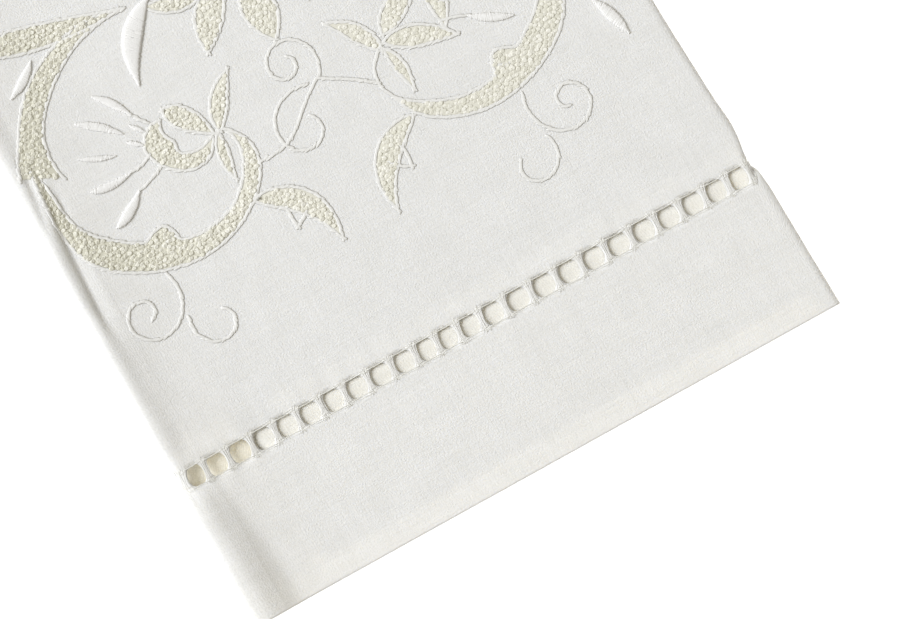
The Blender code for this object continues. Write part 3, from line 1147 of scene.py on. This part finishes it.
@dataclass
class Spray:
    """The embroidery: stem-stitched lines, satin leaves and fillings of French knots.

    A spread is how far a stitch strays by hand. Sizes and tones in pairs are drawn between
    the two. Towards the right the stitches are flatter, and towards the left fold the knots
    and their bed are darkened with painted shade.
    """

    cloth: FoldedLinen
    stitch: float = 1.7
    pace: float = 0.55
    slant: float = 11.0
    slant_spread: float = 6.0
    place_spread: float = 0.06
    outline_radius: float = 0.29
    tendril_radius: float = 0.31
    line_height: float = 0.22
    line_rise: float = 0.28
    line_rises: Point = (0.8, 1.2)
    line_taper: Point = (0.55, 0.45)
    line_tones: Point = (0.35, 0.95)
    satin_gap: float = 0.20
    satin_radius: float = 0.19
    satin_height: float = 0.7
    satin_base: float = 0.08
    satin_rise: float = 0.20
    satin_widths: Point = (0.02, 1.2)
    satin_slant: float = 0.035
    satin_spread: float = 0.045
    satin_tones: Point = (0.7, 1.0)
    knot_gap: float = 0.84
    knot_row: float = 0.866
    knot_spread: float = 0.17
    knot_apart: float = 0.7
    knot_radius: float = 0.46
    knot_sizes: Point = (0.76, 1.14)
    knot_bulge: float = 0.14
    knot_lean: float = 0.14
    knot_dimple: float = 0.36
    knot_tones: Point = (0.4, 1.0)
    knot_margin: float = 0.42
    margin_pace: float = 0.25
    bed_columns: int = 6
    bed_thick: float = 0.09
    bed_edge: float = 8.0
    # Painted shade: how much darker the bed is than the knots, for the shade in the gaps between
    # them.
    bed_painted_shade: float = -0.4
    flatter: float = 0.5
    flatter_ramp: Point = (-22.0, 40.0)
    # Painted shade: how much darker the knots and their bed get towards the left fold.
    deeper: float = 0.35
    deeper_ramp: Point = (-18.0, -30.0)
    floss: YarnFinish = YarnFinish("white_floss", WHITE, (0.76, 0.75, 0.71, 1.0))
    satin_floss: YarnFinish = YarnFinish("satin_floss", (0.90, 0.89, 0.87, 1.0), WHITE, 0.45)
    knot_floss: YarnFinish = YarnFinish(
        "cream_floss", (0.88, 0.86, 0.78, 1.0), (0.58, 0.56, 0.43, 1.0)
    )
    rng: np.random.Generator = field(default_factory=lambda: np.random.default_rng(SEED))

    @staticmethod
    def _areas(fill: Fill | None) -> list[tuple[Array, ...]]:
        """The edges, on the cloth, of the motifs with one filling, or single lines for none."""
        return [
            tuple(group.to_cloth(edge, side) for edge in motif.edges())
            for group, sides in SPRAY
            for side in sides
            for motif in group.motifs
            if motif.fill is fill
        ]

    def _stem_stitch(self, heap: Heap, lines: list[Array], radius: float) -> None:
        """Stem stitch: short slanted stitches, each beginning beside the one before.

        A stitch runs from -1/2 to 1/2 of its length along the way, turned by the slant.
        Its height over the cloth is the radius times its rise times 1 - (2t - 1)^4.

        Args:
            heap: Where the stitches go.
            lines: The lines on the cloth.
            radius: The thread's radius.
        """
        walked = [walked_evenly(line, self.pace) for line in lines]
        at = np.concatenate([places for places, _ in walked])
        way = np.concatenate([ways for _, ways in walked])
        count = len(at)
        turn = np.radians(self.slant + self.rng.normal(0, self.slant_spread, count))
        cos, sin = np.cos(turn), np.sin(turn)
        ahead = np.stack([way[:, 0] * cos - way[:, 1] * sin, way[:, 0] * sin + way[:, 1] * cos], 1)
        at = at + self.rng.normal(0, self.place_spread, at.shape)
        t = np.linspace(0, 1, 6)
        reach = (t - 0.5)[None, :, None] * self.stitch
        flat = at[:, None, :] + reach * ahead[:, None, :]
        swell = 1 - (2 * t - 1) ** 4
        full = self._fullness(at[:, :1])
        rise = radius * self.line_rise * swell[None, :]
        height = rise * self.rng.uniform(*self.line_rises, (count, 1)) * full
        end, fuller = self.line_taper
        radii = radius * (end + fuller * swell)
        tones = self.rng.uniform(*self.line_tones, count)
        u, v = flat[..., 0], flat[..., 1]
        heap.sew(self.cloth, u, v, height, radii, tones, 6, self.line_height * full)

    def lines(self) -> bpy.types.Object:
        """Stem-stitch every outline, and every tendril in a thicker line."""
        heap = Heap()
        for fill, radius in ((Fill.KNOTS, self.outline_radius), (None, self.tendril_radius)):
            edges = [edge for motif in self._areas(fill) for edge in motif]
            self._stem_stitch(heap, edges, radius)
        return heap.build("stem_stitches", self.floss)

    def satin(self) -> bpy.types.Object:
        """Satin stitch: padded threads laid across each leaf, a little on the slant.

        A thread's height is the rise, times the root of the leaf's half width there, times
        the root of 4s(1 - s), with s from 0 at one edge to 1 at the other.

        Returns:
            The leaves, as one object.
        """
        heap = Heap()
        s = np.linspace(0, 1, 8)[None, :]
        for left, right in self._areas(Fill.SATIN):
            middle, _ = walked_evenly((left + right) / 2, self.satin_gap)
            share = np.linspace(0, 1, len(middle))
            place = np.linspace(0, 1, len(left))
            lag = np.clip(share + self.satin_slant, 0, 1)
            a = np.stack([np.interp(share, place, left[:, c]) for c in (0, 1)], axis=1)
            b = np.stack([np.interp(lag, place, right[:, c]) for c in (0, 1)], axis=1)
            jitter = self.rng.normal(0, self.satin_spread, (2, len(a), 2))
            a, b = a + jitter[0], b + jitter[1]
            flat = a[:, None, :] * (1 - s[..., None]) + b[:, None, :] * s[..., None]
            half = np.linalg.norm(b - a, axis=1)[:, None] / 2
            arch = np.sqrt(np.clip(4 * s * (1 - s), 0, 1))
            padded = np.sqrt(np.clip(half, *self.satin_widths))
            height = self.satin_base + self.satin_rise * padded * arch
            tones = self.rng.uniform(*self.satin_tones, len(a))
            u, v, tall = flat[..., 0], flat[..., 1], self.satin_height
            heap.sew(self.cloth, u, v, height, self.satin_radius, tones, 6, tall)
        return heap.build("satin_stitches", self.satin_floss)

    def _knot_places(self) -> Array:
        """Places for knots: a loose honeycomb in each area, kept off its outline."""
        kept = np.empty((0, 2))
        for left, right in self._areas(Fill.KNOTS):
            ring = np.concatenate([left, right[::-1]])
            low, high = ring.min(axis=0), ring.max(axis=0)
            rows = np.arange(low[1], high[1], self.knot_gap * self.knot_row)
            cols = np.arange(low[0], high[0], self.knot_gap)
            spots = np.stack(np.meshgrid(cols, rows), axis=-1)
            spots[1::2, :, 0] += self.knot_gap / 2
            spots = spots.reshape(-1, 2)
            spots = spots + self.rng.normal(0, self.knot_spread, spots.shape)
            spots = spots[lies_inside(spots, ring)]
            if not len(spots):
                continue
            edges = [walked_evenly(edge, self.margin_pace)[0] for edge in (left, right)]
            dense = np.concatenate(edges)
            clear = np.linalg.norm(spots[:, None] - dense[None], axis=2).min(axis=1)
            spots = spots[clear > self.knot_margin]
            if len(kept) and len(spots):
                near = np.linalg.norm(spots[:, None] - kept[None], axis=2).min(axis=1)
                spots = spots[near > self.knot_gap * self.knot_apart]
            kept = np.concatenate([kept, spots])
        return kept

    def _fullness(self, u: Array) -> Array:
        """A stitch's height, as a share of the fullest: it is flatter towards the right."""
        return 1 - self.flatter * ramp(u, *self.flatter_ramp)

    def _left_painted_shade(self, u: Array) -> Array:
        """A knot's tone at most: painted shade darkens it towards the left fold."""
        return 1 - self.deeper * ramp(u, *self.deeper_ramp)

    def _underlay(self, heap: Heap) -> None:
        """A bed of thread under each area of knots, even in thickness but for its edges."""
        for left, right in self._areas(Fill.KNOTS):
            share = np.linspace(0, 1, self.bed_columns)[None, :, None]
            flat = left[:, None] * (1 - share) + right[:, None] * share
            thick = self.bed_thick * np.clip(self.bed_edge * share * (1 - share), 0, 1)[..., 0]
            thick = thick * self._fullness(flat[..., 0])
            points = self.cloth.place(flat[..., 0], flat[..., 1], thick)
            faces = sheet_faces(np.arange(thick.size).reshape(thick.shape))
            a, b, c = (points.reshape(-1, 3)[faces[:, i]] for i in range(3))
            under = np.cross(b - a, c - b)[:, 2] < 0
            faces[under] = faces[under, ::-1]
            # The bed's tone: painted shade for the gaps between the knots, darker towards the left
            # fold.
            tones = self._left_painted_shade(flat[..., 0]).ravel() + self.bed_painted_shade
            heap.add(points.reshape(-1, 3), [faces], tones)

    def knots(self) -> bpy.types.Object:
        """French knots: round lumps with a dimple, each turned and sized by itself.

        A ring of a knot has the radius r (1 + bulge cos 2a) and the height h + lean cos a,
        for an angle a, in units of the knot's own radius. The dimple is one point.

        Returns:
            The knots, as one object.
        """
        places = self._knot_places()
        count, sides = len(places), 8
        radius = np.array([0.34, 0.78, 1.0, 0.93])
        height = np.array([0.50, 0.52, 0.28, 0.0])
        angle = np.arange(sides) * 2 * math.pi / sides
        own = self.rng.uniform(0, 2 * math.pi, (count, 1, 1))
        size = self.knot_radius * self.rng.uniform(*self.knot_sizes, (count, 1, 1))
        bulge = 1 + self.knot_bulge * np.cos(2 * angle[None, None, :] + own)
        out = size * radius[None, :, None] * bulge
        lean = self.knot_lean * np.cos(angle[None, None, :] - own)
        full = self._fullness(places[:, 0])
        up = size * (height[None, :, None] + lean) * full[:, None, None]
        turned = angle[None, None, :] + own * 0.5
        u = places[:, 0, None, None] + out * np.cos(turned)
        v = places[:, 1, None, None] + out * np.sin(turned)
        ring_points = self.cloth.place(u, v, up).reshape(count, -1, 3)
        deep = size[:, 0, 0] * self.knot_dimple * full
        dimple = self.cloth.place(places[:, 0], places[:, 1], deep)
        points = np.concatenate([dimple[:, None], ring_points], axis=1)
        number = np.arange(count * (1 + 4 * sides)).reshape(count, -1)
        rings = number[:, 1:].reshape(count, 4, sides)
        first = rings[:, 0]
        middle = np.broadcast_to(number[:, :1], (count, sides))
        top = stacked([middle, first, np.roll(first, -1, axis=1)])
        heap = Heap()
        self._underlay(heap)
        # The knots' random tones, darkened by painted shade towards the left fold.
        tones = self._left_painted_shade(places[:, 0]) * self.rng.uniform(*self.knot_tones, count)
        faces = [top, ring_faces(rings), rings[:, -1, ::-1]]
        heap.add(points.reshape(-1, 3), faces, np.repeat(tones, 1 + 4 * sides))
        return heap.build("french_knots", self.knot_floss)


@dataclass
class Ladder:
    """The drawn-thread ladder: its bundled threads and the stitches that hold them.

    A wrap lies across a bar, a dive runs from the bar into the cloth, and a run is how far
    out it lies, how far it sags to the holes, and its radius.
    """

    cloth: FoldedLinen
    strands: int = 9
    strand_radius: float = 0.095
    strand_spread: float = 0.10
    strand_tones: Point = (0.6, 1.0)
    waist: float = 0.46
    spread: float = 1.25
    flare_power: float = 2.4
    ripple: float = 0.05
    grip: float = 0.7
    bundle: tuple[float, float, float] = (0.02, 0.06, 0.12)
    sew_radius: float = 0.07
    sew_tones: Point = (0.4, 1.0)
    sew_spread: float = 0.07
    run_spread: float = 0.05
    wrap_width: float = 1.25
    wrap_slant: float = 0.12
    wrap_in: float = 0.45
    wrap_arch: float = 0.09
    dive_slant: float = 0.35
    dive: Point = (-0.3, 0.85)
    dive_height: Point = (-0.03, 0.08)
    run_height: Point = (-0.02, 0.03)
    runs: tuple[Ray, ...] = ((0.06, 0.20, 0.10), (0.36, 0.10, 0.05))
    bar_thread: YarnFinish = YarnFinish(
        "bar_thread", (0.88, 0.87, 0.84, 1.0), (0.80, 0.79, 0.75, 1.0), 0.8
    )
    # The sewing thread's tones vary at random between these two, and its warm darker shade also
    # stands in for painted shade along the holes' rims.
    sewing: YarnFinish = YarnFinish(
        "sewing_thread", (0.88, 0.87, 0.82, 1.0), (0.74, 0.72, 0.62, 1.0), 0.8
    )
    rng: np.random.Generator = field(default_factory=lambda: np.random.default_rng(SEED + 1))

    def bars(self) -> bpy.types.Object:
        """Bundle the threads that cross the ladder.

        A strand's place beside the bar's middle is its share s, -1 to 1, times the waist
        plus (spread - waist) |2t - 1|^power, with t from 0 at the foot to 1 at the head.
        Its height is the bundle's first number, less its second times s^2 and its third
        times (2t - 1)^6.

        Returns:
            The bundles, as one object.
        """
        low, high = self.cloth.deep_hem - self.grip, self.cloth.ladder_top + self.grip
        t = np.linspace(0, 1, 11)[None, None, :]
        bars = self.cloth.bar_numbers()[:, None, None]
        share = np.linspace(-1, 1, self.strands)[None, :, None]
        share = share + self.rng.normal(0, self.strand_spread, (len(bars), self.strands, 1))
        flare = self.waist + (self.spread - self.waist) * np.abs(2 * t - 1) ** self.flare_power
        v = low + (high - low) * t + 0 * share
        u = self.cloth.bar_at(bars + 0 * v, v) + share * flare
        u = u + self.ripple * np.sin(7 * t + 9 * share)
        end = np.abs(2 * t - 1) ** 6
        level, rounded, sunk = self.bundle
        height = level - rounded * share**2 - sunk * end
        shape = (-1, t.shape[-1])
        u, v, height = u.reshape(shape), v.reshape(shape), (height + 0 * u).reshape(shape)
        heap = Heap()
        tones = self.rng.uniform(*self.strand_tones, len(u))
        heap.sew(self.cloth, u, v, height, self.strand_radius, tones)
        return heap.build("ladder_threads", self.bar_thread)

    def _sewn(self, heap: Heap, u: Array, v: Array, height: Array, radius: float) -> None:
        """Lay one sewing thread along each row of places."""
        heap.sew(self.cloth, u, v, height, radius, self.rng.uniform(*self.sew_tones, len(u)))

    def stitches(self) -> bpy.types.Object:
        """Sew the ladder's edges.

        At each end of a bar one thread wraps it, one runs straight into the cloth beside
        it, and two run on along the edge to the next bar.

        Returns:
            The stitches, as one object.
        """
        heap = Heap()
        bars = self.cloth.bar_numbers()[:, None]
        t = np.linspace(0, 1, 7)[None, :]
        arch = np.sqrt(np.clip(4 * t * (1 - t), 0, 1))
        count = len(bars)
        for edge, outward in ((self.cloth.deep_hem, -1.0), (self.cloth.ladder_top, 1.0)):
            at = self.cloth.bar_at(bars, np.full((count, 1), edge))
            own = self.rng.normal(0, self.sew_spread, (4, count, 1))
            u = at + (t - 0.5) * self.wrap_width + own[0]
            v = edge - outward * self.wrap_in + own[1] + self.wrap_slant * (t - 0.5)
            self._sewn(heap, u, v, self.wrap_arch * arch, self.sew_radius)
            u = at + own[2] + self.dive_slant * (t - 0.5)
            v = edge + outward * (self.dive[0] + self.dive[1] * t) + own[3]
            height = self.dive_height[0] + self.dive_height[1] * arch
            self._sewn(heap, u, v, height, self.sew_radius)
            following = np.append(at[1:], at[-1:] + self.cloth.pitch, axis=0)
            height = self.run_height[0] + self.run_height[1] * arch
            for away, sag, radius in self.runs:
                sway = self.rng.normal(0, self.run_spread, (count, 1))
                v = edge + outward * (away - sag * arch) + sway * arch
                self._sewn(heap, at + (following - at) * t, v, height, radius)
        return heap.build("hem_stitches", self.sewing)


class Lamp(NamedTuple):
    """A square light, its sides and distance in metres, its azimuth from +X towards +Y."""

    name: str
    azimuth: float
    elevation: float
    watts: float
    side: float
    colour: tuple[float, float, float]
    distance: float


@dataclass
class Studio:
    """The floor, the lights and the camera, with the aim and the towel's face in mm."""

    turn: float = -29.3
    aim: Point = (-1.9, -244.4)
    shown_width: float = 171.2
    distance: float = 0.8
    height: float = 3.8
    sensor: float = 36.0
    key: Lamp = Lamp("key", 150.0, 38.0, 246.0, 3.0, (0.91, 0.94, 1.0), 4.4)
    fill: Lamp = Lamp("fill", 5.0, 50.0, 1.6, 0.8, (1.0, 1.0, 1.0), 1.1)
    sky: Colour = (1.0, 0.93, 0.76, 1.0)
    sky_strength: float = 0.28
    floor_reach: float = 3.0
    floor_drop: float = 0.0004
    floor_glow: float = 0.75
    floor_grain: float = 40.0
    floor_greys: Point = (0.93, 0.96)

    def floor(self) -> bpy.types.Object:
        """A plain pale floor under the towel."""
        graph = Graph("floor")
        place = graph.node("ShaderNodeTexCoord", {}).outputs["Object"]
        grain = graph.noise(place, self.floor_grain)
        colour = graph.blend(grain, *((grey, grey, grey, 1.0) for grey in self.floor_greys))
        graph.dress(colour, grain, 0.00001, Roughness=0.9, Emission_Strength=self.floor_glow)
        graph.shader.inputs["Emission Color"].default_value = (1.0, 1.0, 1.0, 1.0)
        corners = np.array([[-1, -1, 0], [1, -1, 0], [1, 1, 0], [-1, 1, 0]]) * self.floor_reach
        mesh = bpy.data.meshes.new("floor")
        mesh.from_pydata(corners - np.array([0, 0, self.floor_drop]), [], [[0, 1, 2, 3]])
        mesh.materials.append(graph.material)
        return linked("floor", mesh)

    def _light(self, lamp: Lamp) -> None:
        """Add a light that faces the towel's shown end."""
        data = bpy.data.lights.new(lamp.name, "AREA")
        data.energy, data.size, data.color = lamp.watts, lamp.side, lamp.colour
        a, e = math.radians(lamp.azimuth), math.radians(lamp.elevation)
        away = Vector((math.cos(a) * math.cos(e), math.sin(a) * math.cos(e), math.sin(e)))
        light = linked(lamp.name, data)
        light.location = Vector((self.aim[0], self.aim[1], 0.0)) * MM + away * lamp.distance
        light.rotation_euler = away.to_track_quat("Z", "Y").to_euler()

    def lights(self) -> None:
        """A cool soft key from the upper left, a weak fill from the right and a warm sky."""
        for lamp in (self.key, self.fill):
            self._light(lamp)
        world = bpy.data.worlds.new("studio")
        world.use_nodes = True
        background = world.node_tree.nodes["Background"].inputs
        background["Color"].default_value = self.sky
        background["Strength"].default_value = self.sky_strength
        bpy.context.scene.world = world
        bpy.context.scene.view_settings.view_transform = "Standard"

    def camera(self) -> None:
        """A long lens straight above the hem, turned as the photo is."""
        lens = bpy.data.cameras.new("camera")
        lens.sensor_fit, lens.sensor_width = "HORIZONTAL", self.sensor
        lens.lens = self.sensor * self.distance / (self.shown_width * MM)
        lens.clip_start, lens.clip_end = 0.05, 20.0
        camera = linked("camera", lens)
        camera.location = (self.aim[0] * MM, self.aim[1] * MM, self.height * MM + self.distance)
        camera.rotation_euler = (0.0, 0.0, math.radians(self.turn))
        bpy.context.scene.camera = camera


def main() -> None:
    """Build the towel's pieces in order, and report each."""
    logging.basicConfig(level=logging.INFO, format="%(name)s: %(message)s")
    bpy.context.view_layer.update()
    linen = FoldedLinen()
    ladder, spray = Ladder(linen), Spray(linen)
    cloth = linen.build()
    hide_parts("linen_towel")
    pieces = [ladder.bars(), ladder.stitches(), spray.lines(), spray.satin(), spray.knots()]
    for piece in [cloth, *pieces]:
        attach(piece, "root")
        triangles = sum(len(face.vertices) - 2 for face in piece.data.polygons)
        LOG.info("%s: %d triangles before its modifiers", piece.name, triangles)
    studio = Studio()
    studio.floor()
    studio.lights()
    studio.camera()


if __name__ == "__main__":
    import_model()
    main()
